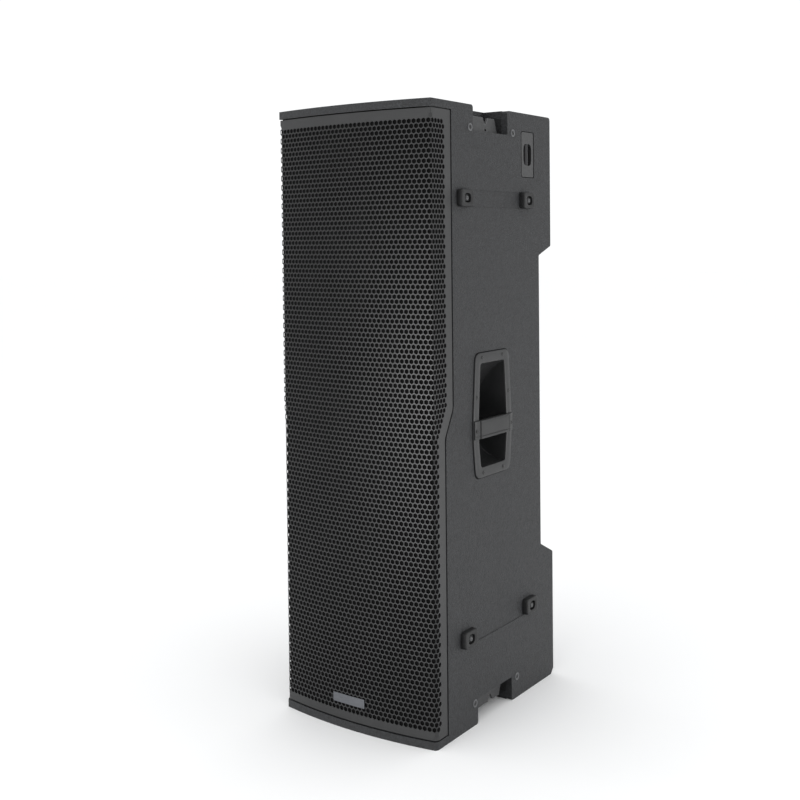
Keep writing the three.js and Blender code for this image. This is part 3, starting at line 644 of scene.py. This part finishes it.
def chamfer_legs(share):
    return [between(sharp, lip, share) for sharp, lip in zip(SHARP_LIP, LIP_CHAMFER)]


def section(z):
    """Lengths along the grille's outer face at one height: the arc's end and the cheek's start and end."""
    share = jog_share(z)
    half = GRILLE_HIGH.x
    leg_x, leg_y = chamfer_legs(share)
    radius = BOW_RADIUS - GRILLE_BACK
    arc_x = half - leg_x
    arc_end = radius * math.asin(arc_x / radius)
    arc_y = FRONT + BOW_RADIUS - math.sqrt(radius ** 2 - arc_x ** 2)
    cheek_y = CORNER + GRILLE_BACK + leg_y
    chamfer = math.hypot(half - arc_x, cheek_y - arc_y)
    seam = between(SEAM_UPPER, SEAM_LOWER, share)
    return {
        "arc_end": arc_end,
        "cheek_start": arc_end + chamfer,
        "end": arc_end + chamfer + seam - cheek_y,
        "corners": [(arc_x, arc_y), (half, cheek_y), (half, seam)],
        "plain": between(PLAIN_UPPER, PLAIN_LOWER, share),
    }


def sheet_place(s, z):
    """The point of the grille's outer face at length s from its middle and height z."""
    side, s = math.copysign(1, s), abs(s)
    shape = section(z)
    (arc_x, arc_y), (cheek_x, cheek_y), (_, seam) = shape["corners"]
    radius = BOW_RADIUS - GRILLE_BACK
    if s <= shape["arc_end"]:
        angle = s / radius
        x, y = radius * math.sin(angle), FRONT + BOW_RADIUS - radius * math.cos(angle)
    elif s <= shape["cheek_start"]:
        share = (s - shape["arc_end"]) / (shape["cheek_start"] - shape["arc_end"])
        x, y = arc_x + (cheek_x - arc_x) * share, arc_y + (cheek_y - arc_y) * share
    else:
        x, y = cheek_x, min(cheek_y + s - shape["cheek_start"], seam)
    return Vector((side * x, y, z))


def sheet_back(s, z):
    """The same point on the inner face."""
    step = 1.2 * MM  # how far to each side the direction of the face is measured
    ahead, behind = sheet_place(s + step, z), sheet_place(s - step, z)
    run = (ahead - behind).normalized()
    outward = Vector((run.y, -run.x, 0))
    return sheet_place(s, z) - outward * GRILLE_SHEET


def grille():
    """A bent sheet with hexagonal holes; solid cells fill the plain strips and are cut at the edges."""
    fold = section(HEIGHT)["arc_end"]
    pitch = fold / CELLS_TO_FOLD
    half_hole = pitch * HOLE_SHARE / 2
    tall = ROW_PITCH - (1 - HOLE_SHARE) * pitch  # the hole's height from point to flat's level
    half_tall = tall * 0.62
    corners = [
        (half_hole, half_tall / 2), (0, half_tall), (-half_hole, half_tall / 2),
        (-half_hole, -half_tall / 2), (0, -half_tall), (half_hole, -half_tall / 2),
    ]
    edge_rows = 3
    columns = int(section(HEIGHT)["end"] / pitch) + 2
    ids, flat_points, faces = {}, [], []

    def cell(row, column):
        return (column + (0.5 if row % 2 else 0.0)) * pitch, FIRST_ROW + row * ROW_PITCH

    def corner(row, column, k):
        s, z = cell(row, column)
        z = min(max(z + corners[k][1], GRILLE_LOW.z), GRILLE_HIGH.z)
        end = section(z)["end"]
        s = min(max(s + corners[k][0], -end), end)
        key = (round(s * 1e6), round(z * 1e6))
        if key not in ids:
            ids[key] = len(flat_points)
            flat_points.append((s, z))
        return ids[key]

    def keep(loop):
        tidy = [a for a, b in zip(loop, loop[1:] + loop[:1]) if a != b]
        area = sum(
            flat_points[a][0] * flat_points[b][1] - flat_points[b][0] * flat_points[a][1]
            for a, b in zip(tidy, tidy[1:] + tidy[:1])) / 2
        if len(tidy) > 2 and area > 1e-9:
            faces.append(tuple(tidy))

    def is_open(row, column):
        s, z = cell(row, column)
        shape = section(z)
        return 0 <= row < ROWS and abs(s) + half_hole * 0.6 <= shape["end"] - shape["plain"]

    for row in range(-edge_rows, ROWS + edge_rows):
        odd = row % 2
        for column in range(-columns, columns + 1):
            here = lambda k: corner(row, column, k)
            right = lambda k: corner(row, column + 1, k)
            upper_right = lambda k: corner(row + 1, column + odd, k)
            upper_left = lambda k: corner(row + 1, column + odd - 1, k)
            if not is_open(row, column):
                keep([here(k) for k in range(6)])
            keep([here(5), right(3), right(2), here(0)])
            keep([here(0), upper_right(4), upper_right(3), here(1)])
            keep([here(1), upper_left(5), upper_left(4), here(2)])
            keep([here(0), right(2), upper_right(4)])
            keep([here(1), upper_right(3), upper_left(5)])

    count = len(flat_points)
    sheet = Solid()
    sheet.points = [tuple(sheet_place(s, z)) for s, z in flat_points]
    sheet.points += [tuple(sheet_back(s, z)) for s, z in flat_points]
    sheet.faces = faces + [tuple(i + count for i in face[::-1]) for face in faces]
    directed = {(a, b) for face in faces for a, b in zip(face, face[1:] + face[:1])}
    sheet.faces += [(b, a, a + count, b + count) for a, b in directed if (b, a) not in directed]
    make("perforated_grille", sheet, GRILLE, "grille_steel", replaces=["grille"], sharp=20)


def behind_grille(reach, inset, steps):
    """Points across the bowed front, inset behind the grille's outer face, from +reach to -reach in X."""
    radius = BOW_RADIUS - GRILLE_BACK - inset
    xs = [reach * (1 - 2 * i / steps) for i in range(steps + 1)]
    return [(x, FRONT + BOW_RADIUS - math.sqrt(radius ** 2 - x ** 2)) for x in xs]


def foam_lining():
    """The thin foam stuck behind the grille and its cheeks, which hides the drivers."""
    def face(z, inset):
        share = jog_share(z)
        leg_x, leg_y = chamfer_legs(share)
        cheek = GRILLE_HIGH.x - inset
        seam = between(SEAM_UPPER, SEAM_LOWER, share)
        right = [(cheek, seam - FOAM_MARGIN), (cheek, CORNER + GRILLE_BACK + leg_y + inset)]
        arc = behind_grille(cheek - leg_x, inset + STIFFENER_THICK, FOAM_STEPS)
        return right + arc + [(-x, y) for x, y in right[::-1]]

    rings = []
    for z in (GRILLE_LOW.z + FOAM_MARGIN, JOG_BOTTOM, JOG_TOP, GRILLE_HIGH.z - FOAM_MARGIN):
        outer, inner = face(z, FOAM_INSET), face(z, FOAM_INSET + FOAM_THICK)
        rings.append([(x, y, z) for x, y in outer + inner[::-1]])
    make("grille_foam_lining", Solid().add(*loft(rings)), FOAM, "grille_steel")


def grille_stiffener():
    """A strip bent across the back of the grille, hardly lighter than the foam behind the holes."""
    outer = behind_grille(STIFFENER_REACH, FOAM_INSET, FOAM_STEPS)
    inner = behind_grille(STIFFENER_REACH, FOAM_INSET + STIFFENER_THICK - 0.2 * MM, FOAM_STEPS)
    ring = outer + inner[::-1]
    rings = [[(x, y, z) for x, y in ring] for z in STIFFENER_Z]
    make("grille_stiffener", Solid().add(*loft(rings)), STIFFENER, "grille_steel")


grille()
foam_lining()
grille_stiffener()


# ---------------------------------------------------------------- carrying handles
HANDLE_Y = (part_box("right_handle_cup")[0].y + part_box("right_handle_cup")[1].y) / 2
FLANGE_BACK = HALF_W + 0.3 * MM
FLANGE_FACE = FLANGE_BACK + 3 * MM
# outlines of the flange and of its mouth: half-widths at heights, both in mm
FLANGE_ROWS = [(69, 782), (79, 645), (79, 595), (71, 518)]
MOUTH_ROWS = [(49.5, 760), (57.5, 645), (57.5, 595), (50, 540)]
BOWL_MIDDLE = 650 * MM
BOWL_DEPTH = 73 * MM
BOWL_WALL = 2.6 * MM
RING_SUNK = 0.4 * MM  # how deep the black rings that paint the shadow lines round the flanges reach into the panel
PAD_SCREW_Z = 620  # the screws at this height, in mm, go through the grip's pads
PAD_THICK = 3.6 * MM


def handle_ring(rows, x, grow=0.0, end_radius=18 * MM, middle_radius=16 * MM, squeeze=(1.0, 1.0), draft=1.0):
    """A rounded outline through half-widths at heights in millimetres, at one X."""
    right, left = [], []
    for i, (half, z) in enumerate(rows):
        outer = math.copysign(1, z * MM - BOWL_MIDDLE) * (grow if i in (0, 3) else 0)
        height = BOWL_MIDDLE + (z * MM + outer - BOWL_MIDDLE) * squeeze[0 if i == 0 else 1]
        width = (half * MM + grow) * draft
        radius = end_radius if i in (0, 3) else middle_radius * squeeze[1]
        right.append((HANDLE_Y + width, height, radius))
        left.append((HANDLE_Y - width, height, radius))
    return [(x, p.x, p.y) for p in corner_arc(right + left[::-1], 4)]


def handle_bowl():
    """A screwed flange round a mouth that opens into a bowl, curved at its top and bottom and flat-sided."""
    def bowl(depth, grow):
        share = depth / (BOWL_DEPTH * 1.001)
        ceiling = 1 - 0.28 * share - 0.42 * share ** 2
        floor = 0.5 + 0.5 * math.sqrt(max(1 - share ** 2, 0))
        squeeze, draft = (ceiling, floor), 1 - 0.06 * share
        corner_radius = (2.6 + 5.4 * max(1 - depth / (6 * MM), 0)) * MM
        x = FLANGE_FACE - depth - (grow if depth > BOWL_DEPTH * 0.99 else 0)
        return handle_ring(MOUTH_ROWS, x, grow, corner_radius, 16 * MM, squeeze, draft)

    depths = [d * MM for d in (73, 72, 69, 64, 57, 48, 38, 28, 18, 10, 5, 2.2)]
    rings = [bowl(d, 0) for d in depths]
    rings += [
        handle_ring(MOUTH_ROWS, FLANGE_FACE - 0.6 * MM, 0.5 * MM, 8 * MM),
        handle_ring(MOUTH_ROWS, FLANGE_FACE, 2 * MM, 9 * MM),
        handle_ring(FLANGE_ROWS, FLANGE_FACE, -1.6 * MM),
        handle_ring(FLANGE_ROWS, FLANGE_FACE - 0.5 * MM, -0.4 * MM),
        handle_ring(FLANGE_ROWS, FLANGE_FACE - 1.6 * MM),
        handle_ring(FLANGE_ROWS, FLANGE_BACK),
        handle_ring(MOUTH_ROWS, FLANGE_BACK, BOWL_WALL),
    ]
    rings += [bowl(d, BOWL_WALL) for d in depths[::-1] if d > 4 * MM]
    cup = Solid().add(*loft(rings))
    pair("handle_bowl", cup, HANDLE, "handle_plastic", replaces=["handle_cup"], sharp=40)


def handle_grip():
    """The bar across the mouth: pads on the flange, a rounded middle, and a lip along its lower edge."""
    low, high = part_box("right_handle_grip")
    middle, half = (low.z + high.z) / 2, (high.z - low.z) / 2
    # distance from the middle, back and front of the section past the flange's face, corner radius, all in mm
    stations = [
        (78, 0.3, 1.6, 0.5), (77.6, 0.3, 2.4, 1), (75, 0.3, 3.2, 1.4), (68, 0.3, 4.2, 2), (61, 0.3, 4.6, 2.4),
        (59.6, 0.3, 2.8, 2), (58.2, 0.3, 2.8, 2), (57, -1.5, 5.6, 3), (52, -7, 6.0, 5), (46, -10.4, 6.0, 7),
        (38, -11, 6.0, 8), (14, -11, 6.0, 8)]
    stations = [(-d, *rest) for d, *rest in stations] + stations[::-1]
    rings = []
    for distance, back, front, radius in stations:
        x0, x1 = FLANGE_FACE + back * MM, FLANGE_FACE + front * MM
        lip, groove = middle - half + 5 * MM, min(0.25 * radius, 1.2) * MM
        corners = [
            (x0, middle - half, radius * MM), (x1, middle - half, min(radius, 1.5) * MM),
            (x1, lip, 0.3 * MM),
            (x1 - groove, lip + 0.8 * MM, 0.3 * MM), (x1 - groove, lip + 1.8 * MM, 0.3 * MM),
            (x1, lip + 2.6 * MM, 0.3 * MM),
            (x1, middle + half, radius * MM), (x0, middle + half, radius * MM)]
        rings.append([(p.x, HANDLE_Y + distance * MM, p.y) for p in corner_arc(corners, 5)])
    bar = Solid().add(*loft(rings))
    pair("handle_bar", bar, GRIP, "grip_plastic", replaces=["handle_grip"], sharp=40)


def painted_shadow_ring(name, outline, face, outside, inside, slot):
    """A thin black ring between a flange and the panel that paints the shadow line round its edge; outline(x,
    grow) gives its edge at one X.
    """
    back = HALF_W - RING_SUNK
    path = [(back, outside), (face, outside), (face, inside), (back, inside), (back, outside)]
    rings = [outline(x, grow * MM) for x, grow in path]
    # black foam standing in for the shadow in the gap: a painted shadow line
    pair(name, Solid().add(*loft(rings, True, True)), FOAM, slot)


def handle_shadow_outline():
    """A black ring that paints the shadow line round the flange."""
    def outline(x, grow):
        return handle_ring(FLANGE_ROWS, x, grow)

    painted_shadow_ring("handle_shadow_outline", outline, FLANGE_BACK - 0.02 * MM, 1.5, -3, "handle_plastic")


def handle_screws():
    """Four pairs of screws: at the flange's top, sides and bottom, and through the grip's pads."""
    heads = Solid()
    for half, z in ((42, 772), (66, 690), (71, PAD_SCREW_Z), (41, 528)):
        lift = PAD_THICK if z == PAD_SCREW_Z else 0
        for y in (half, -half):
            spot = (FLANGE_FACE + lift, HANDLE_Y + y * MM, z * MM)
            heads.add(*screw(spot, (1, 0, 0), 4.3 * MM, 1.3 * MM, seat=0.6 * MM + lift))
    pair("handle_screws", heads, SCREW, "bracket_steel", sharp=40)


handle_shadow_outline()
handle_bowl()
handle_grip()
handle_screws()


# ---------------------------------------------------------------- side feet
def side_foot(node):
    """A rubber block with a lipped edge, an oval well and a raised seat for its screw."""
    low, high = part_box(node)
    y, z = (low.y + high.y) / 2, (low.z + high.z) / 2
    half_y, half_z = (high.y - low.y) / 2, (high.z - low.z) / 2
    face = high.x

    def ring(x, inset, radius):
        return [(x, p.x, p.y) for p in rounded_rectangle(y, z, half_y - inset, half_z - inset, radius, 8)]

    def oval(x, half_u, half_v):
        radius = min(half_u, half_v) * 0.95
        return [(x, p.x, p.y) for p in rounded_rectangle(y, z, half_u, half_v, radius, 8)]

    rings = [
        ring(low.x, 0.2 * MM, 8 * MM),
        ring(low.x + 3 * MM, 0, 8 * MM),
        ring(face - 2.4 * MM, 0.3 * MM, 8 * MM),
        ring(face - 0.9 * MM, 0.9 * MM, 7.8 * MM),
        ring(face - 0.2 * MM, 1.8 * MM, 7.4 * MM),
        ring(face, 2.8 * MM, 7 * MM),
        oval(face, 13.2 * MM, 10.8 * MM),
        oval(face - 0.7 * MM, 12.2 * MM, 9.8 * MM),
        oval(face - 8 * MM, 11.6 * MM, 9.2 * MM),
        oval(face - 8.2 * MM, 8.6 * MM, 7 * MM),
        oval(face - 3 * MM, 8.2 * MM, 6.6 * MM),
        oval(face - 2.6 * MM, 7.4 * MM, 6 * MM),
        oval(face - 2.6 * MM, 5.9 * MM, 5.5 * MM),
        oval(face - 4.4 * MM, 5.7 * MM, 5.3 * MM),
    ]
    return Solid().add(*loft(rings)), Vector((face - 4.2 * MM, y, z))


def side_feet():
    heads = Solid()
    for level in ("upper", "lower"):
        for end in ("front", "rear"):
            foot, seat = side_foot(f"right_{level}_{end}_foot")
            where = f"{level}_{end}"
            stands_for = [f"{where}_foot"]
            pair(f"{where}_rubber_foot", foot, RUBBER, "foot_rubber", replaces=stands_for, sharp=50)
            heads.add(*screw(seat, (1, 0, 0), 5.2 * MM, 3.2 * MM))
    pair("foot_screws", heads, ZINC, "bracket_steel", sharp=40)


side_feet()


# ---------------------------------------------------------------- rigging and safety hardware
POCKET_WALL = 4 * MM
SCREW_AHEAD = 12 * MM  # screw centres ahead of and behind the pocket's opening
SCREW_BEHIND = 22.5 * MM
SCREW_FROM_END = 47 * MM


def rigging_screws():
    """Countersunk screws in dished washers, either side of each pocket."""
    low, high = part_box("right_top_rigging_pocket")
    front = low.y + POCKET_WALL - SCREW_AHEAD
    back = high.y - POCKET_WALL + SCREW_BEHIND
    washers, heads = Solid(), Solid()
    for z in (HEIGHT - SCREW_FROM_END, SCREW_FROM_END):
        for y in (front, back):
            spot = (HALF_W + PANEL_OVERLAP, y, z)
            washers.add(*cup_washer(spot, (1, 0, 0), 4.6 * MM, 8.4 * MM, 1.6 * MM))
            heads.add(*screw(spot, (1, 0, 0), 4.6 * MM, 1.2 * MM, hex_recess))
    pair("rigging_washers", washers, WASHER, "bracket_steel", sharp=40)
    pair("rigging_screws", heads, SCREW, "bracket_steel", sharp=40)


def anchor_bar():
    """The bar across the safety anchor, a sleeve over the rod that the steel part carries."""
    low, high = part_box("right_safety_anchor")
    y, z = (low.y + high.y) / 2, (low.z + high.z) / 2
    reach, radius = 24.6 * MM, 5.8 * MM
    profile = [
        (radius * 0.8, -reach), (radius, -reach + 1 * MM), (radius, reach - 1 * MM), (radius * 0.8, reach)]
    bar = Solid().add(*turned(profile, (high.x - radius, y, z), (0, 0, 1), 32))
    pair("anchor_bar", bar, BAR, "anchor_steel", sharp=40)


def anchor_shadow_outline():
    """A black ring that paints the shadow line round the anchor's plate."""
    low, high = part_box("right_safety_anchor")
    y, z = (low.y + high.y) / 2, (low.z + high.z) / 2
    half_y, half_z = (high.y - low.y) / 2, (high.z - low.z) / 2

    def outline(x, grow):
        return [(x, p.x, p.y) for p in rounded_rectangle(y, z, half_y + grow, half_z + grow, 5 * MM)]

    painted_shadow_ring("anchor_shadow_outline", outline, HALF_W + 0.34 * MM, 1.7, 0.12, "anchor_steel")


rigging_screws()
anchor_bar()
anchor_shadow_outline()


# ---------------------------------------------------------------- amplifier panel
PLATE_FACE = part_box("amp_plate")[1].y
SOCKET_FACE = PLATE_FACE + 2.8 * MM
DISPLAY_PLACE = (14 * MM, 505 * MM)
DISPLAY_HALF = (24 * MM, 12 * MM)


def middle_of(node):
    low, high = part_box(node)
    return (low + high) / 2


def amp_screws():
    """Screws round the plate and at the corners of each socket's flange."""
    heads = Solid()
    places = [(x, z) for x in (-121, 121) for z in (409, 552, 638, 724, 810, 891)]
    places += [(-45, 409), (45, 409), (-42, 891), (42, 891)]
    for x, z in places:
        heads.add(*screw((x * MM, PLATE_FACE, z * MM), (0, 1, 0), 3.2 * MM, 1.2 * MM, seat=0.5 * MM))
    make("amp_plate_screws", heads, ZINC, "bracket_steel", sharp=40)
    # node, offsets of its screws in X and Z in mm, and one sign for each pair of opposite corners
    corners = [
        ("power_inlet", 12.9, 15, (-1, 1)),
        ("signal_input_socket", 10.3, 12, (1,)),
        ("signal_link_socket", 10.3, 12, (1,)),
    ]
    small = Solid()
    for node, dx, dz, signs in corners:
        spot = middle_of(node)
        for sign in signs:
            for side in (-1, 1):
                at = (spot.x + side * dx * MM, SOCKET_FACE, spot.z + side * sign * dz * MM)
                small.add(*screw(at, (0, 1, 0), 1.9 * MM, 0.7 * MM, seat=0.4 * MM))
    make("socket_screws", small, ZINC, "bracket_steel", sharp=40)


def amp_display():
    """A small dark window in a raised bezel, left blank."""
    x, z = DISPLAY_PLACE
    half_x, half_z = DISPLAY_HALF
    shape = ((-0.5, 0, 4), (1.2, 0, 4), (1.6, 0.5, 3.6), (1.6, 2.6, 2), (0.7, 3.2, 1.6))
    rings = []
    for rise, inset, radius in shape:
        outline = rounded_rectangle(x, z, half_x - inset * MM, half_z - inset * MM, radius * MM)
        rings.append([(p.x, PLATE_FACE + rise * MM, p.y) for p in outline])
    make("display_bezel", Solid().add(*loft(rings)), KNOB, "connector_black")
    glass = []
    for rise, inset in ((0.72, 3.4), (1.0, 3.5)):
        outline = rounded_rectangle(x, z, half_x - inset * MM, half_z - inset * MM, 1.5 * MM)
        glass.append([(p.x, PLATE_FACE + rise * MM, p.y) for p in outline])
    make("display_window", Solid().add(*loft(glass)), DISPLAY, "connector_black")


def fluted(angle):
    return 0.955 + 0.045 * math.cos(18 * angle)


def level_knob():
    """A fluted knob on its spindle, with a pale pointer let into its face."""
    spot = middle_of("level_knob")
    profile = [
        (3, -12), (3, 0.8), (9.3, 0.8), (9.5, 1.2), (9.5, 2.4),
        (9.3, 2.9, True), (8.9, 12.4, True), (8.2, 13.6, True),
        (7.2, 14), (6.6, 13.8)]
    centre = (spot.x, PLATE_FACE, spot.z)
    body = turned([(r * MM, h * MM, *rest) for r, h, *rest in profile], centre, (0, 1, 0), 108, fluted)
    make("fluted_knob", Solid().add(*body), KNOB, "knob_plastic", "knob", ["level_knob"], sharp=50)
    rings = []
    for rise, grow in ((13.5, 0), (13.9, 0), (14.0, -0.12)):
        half_x, half_z = (0.7 + grow) * MM, (2.8 + grow) * MM
        outline = rounded_rectangle(spot.x, spot.z + 4.4 * MM, half_x, half_z, 0.4 * MM, 3)
        rings.append([(p.x, PLATE_FACE + rise * MM, p.y) for p in outline])
    make("knob_pointer", Solid().add(*loft(rings)), BUTTON, "button_plastic", "knob")


amp_screws()
amp_display()
level_knob()


# ---------------------------------------------------------------- finishes of the CAD parts that stay
KEPT = {
    "front_baffle": BAFFLE_AND_POCKET_SHADE,
    "cabinet_brace": PLY,
    "horn": HORN,
    "hf_driver_housing": CASTING,
    "hf_diaphragm": DIAPHRAGM,
    "badge": BADGE,
    "amp_plate": AMP_PAINT,
    "amp_heatsink": ANODISED,
    "amp_chassis": CASE,
    "power_inlet": CONNECTOR_BLUE,
    "signal_input_socket": CONNECTOR,
    "signal_link_socket": CONNECTOR,
    "input_latch": LATCH,
    "select_button": BUTTON,
    "power_switch": ROCKER,
}
for driver in ("mid", "upper_woofer", "lower_woofer"):
    for part, finish in (("basket", BASKET), ("magnet", MAGNET), ("cone", CONE), ("surround", SURROUND)):
        KEPT[f"{driver}_{part}"] = finish
ROUNDED = {  # width in mm
    "badge": 0.6,
    "amp_plate": 0.6,
    "amp_heatsink": 0.5,
    "power_inlet": 0.4,
    "signal_input_socket": 0.4,
    "signal_link_socket": 0.4,
    "power_switch": 0.4,
}
for side in ("right", "left"):
    KEPT[f"{side}_safety_anchor"] = ANCHOR
    ROUNDED[f"{side}_safety_anchor"] = 1.5
    for end in ("top", "bottom"):
        # painted shade: the pockets take the dark baffle paint so that their hollows look shadowed
        KEPT[f"{side}_{end}_rigging_pocket"] = BAFFLE_AND_POCKET_SHADE
        KEPT[f"{side}_{end}_rigging_bracket"] = BRACKET
        ROUNDED[f"{side}_{end}_rigging_bracket"] = 0.9

for node, finish in KEPT.items():
    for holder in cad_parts[node].material_slots:
        holder.material = finish
for node, width in ROUNDED.items():
    rounded(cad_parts[node], width * MM)
